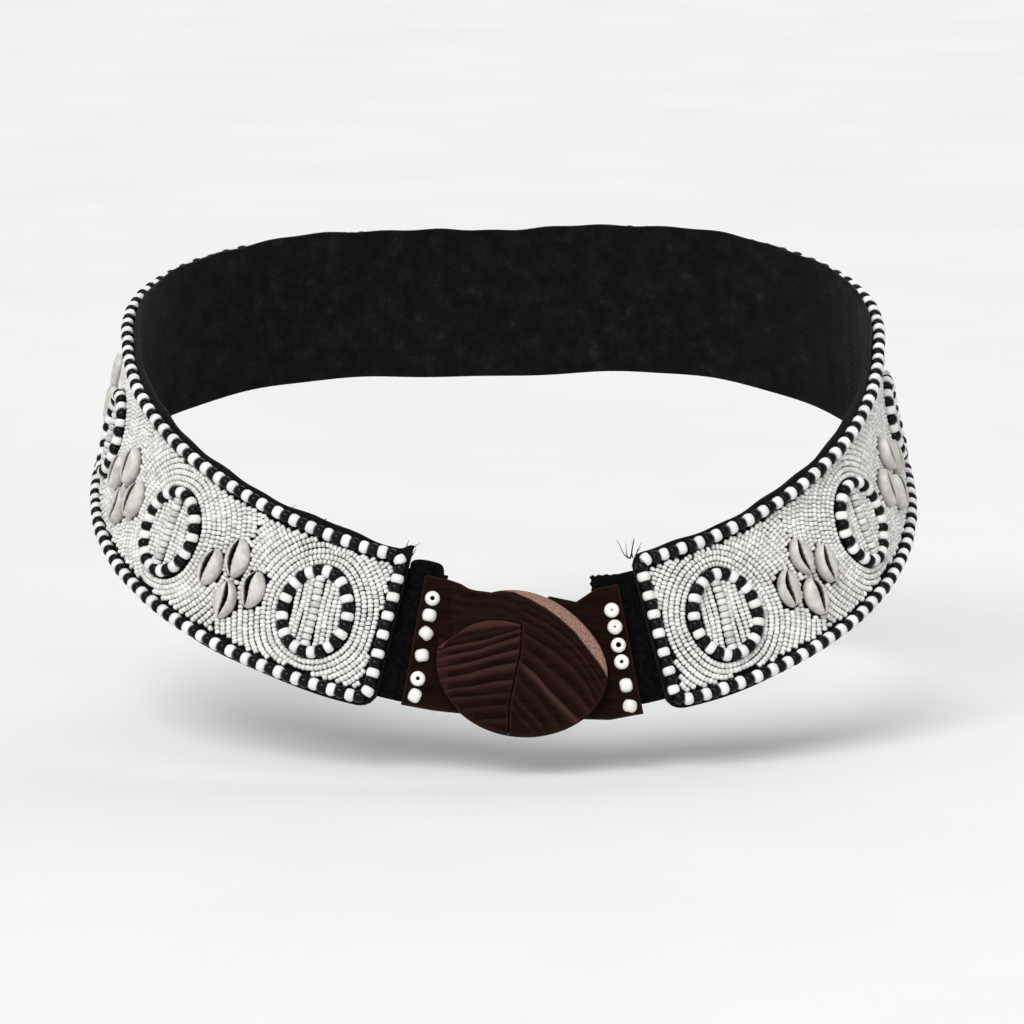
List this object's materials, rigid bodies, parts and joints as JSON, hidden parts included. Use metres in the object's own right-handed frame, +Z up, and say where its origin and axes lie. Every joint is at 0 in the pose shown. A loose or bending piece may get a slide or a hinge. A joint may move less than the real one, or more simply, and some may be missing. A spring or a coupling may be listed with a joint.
{
  "type": "beaded belt",
  "caption": "Wide black cloth belt covered in glass seed beads, beaded oval rings and cowrie shells, closed in front by an interlocking carved wooden buckle; worn form.",
  "frame": {"origin": "middle of the worn loop, where it sits on the hips", "axes": "+Z up, +X across the body to the right of the buckle as seen from the front, front towards -Y"},
  "size_m": [0.3309, 0.2468, 0.1726],
  "materials": {
    "black_cloth": "matt black woven cotton with a cut edge",
    "black_strap": "matt black ribbed webbing",
    "white_seed_beads": "opaque pearl white glass, softly glossy",
    "clear_beads": "milky clear glass, glossy",
    "black_beads": "opaque black glass, glossy",
    "white_beads": "opaque white glass, glossy",
    "cowrie_shell": "natural polished shell, cream and grey, dark slit",
    "dark_wood": "carved and oiled dark brown wood",
    "light_wood": "bare reddish wood on the bevel of the disc",
    "stud_white": "turned bone white, satin",
    "black_thread": "loose black sewing thread"
  },
  "bodies": {
    "root": {"backing_band": "black_cloth", "bead_field": "white_seed_beads", "edge_bead_string": "black_beads", "medallion_01": "black_beads", "medallion_02": "black_beads", "medallion_03": "black_beads", "medallion_04": "black_beads", "medallion_05": "black_beads", "medallion_06": "black_beads", "medallion_07": "black_beads", "medallion_08": "black_beads", "medallion_09": "black_beads", "medallion_10": "black_beads", "medallion_11": "black_beads", "cowrie_01": "cowrie_shell", "cowrie_02": "cowrie_shell", "cowrie_03": "cowrie_shell", "cowrie_04": "cowrie_shell", "cowrie_05": "cowrie_shell", "cowrie_06": "cowrie_shell", "cowrie_07": "cowrie_shell", "cowrie_08": "cowrie_shell", "cowrie_09": "cowrie_shell", "cowrie_10": "cowrie_shell", "cowrie_11": "cowrie_shell", "cowrie_12": "cowrie_shell", "cowrie_13": "cowrie_shell", "cowrie_14": "cowrie_shell", "cowrie_15": "cowrie_shell", "cowrie_16": "cowrie_shell", "cowrie_17": "cowrie_shell", "cowrie_18": "cowrie_shell", "cowrie_19": "cowrie_shell", "cowrie_20": "cowrie_shell", "cowrie_21": "cowrie_shell", "cowrie_22": "cowrie_shell", "cowrie_23": "cowrie_shell", "cowrie_24": "cowrie_shell", "cowrie_25": "cowrie_shell", "cowrie_26": "cowrie_shell", "cowrie_27": "cowrie_shell", "cowrie_28": "cowrie_shell", "cowrie_29": "cowrie_shell", "cowrie_30": "cowrie_shell", "cowrie_31": "cowrie_shell", "cowrie_32": "cowrie_shell", "cowrie_33": "cowrie_shell", "cowrie_34": "cowrie_shell", "cowrie_35": "cowrie_shell", "cowrie_36": "cowrie_shell", "cowrie_37": "cowrie_shell", "cowrie_38": "cowrie_shell", "cowrie_39": "cowrie_shell", "cowrie_40": "cowrie_shell", "strap_left": "black_strap", "strap_right": "black_strap", "buckle_half_left": "dark_wood", "buckle_half_right": "dark_wood"}
  },
  "joints": []
}
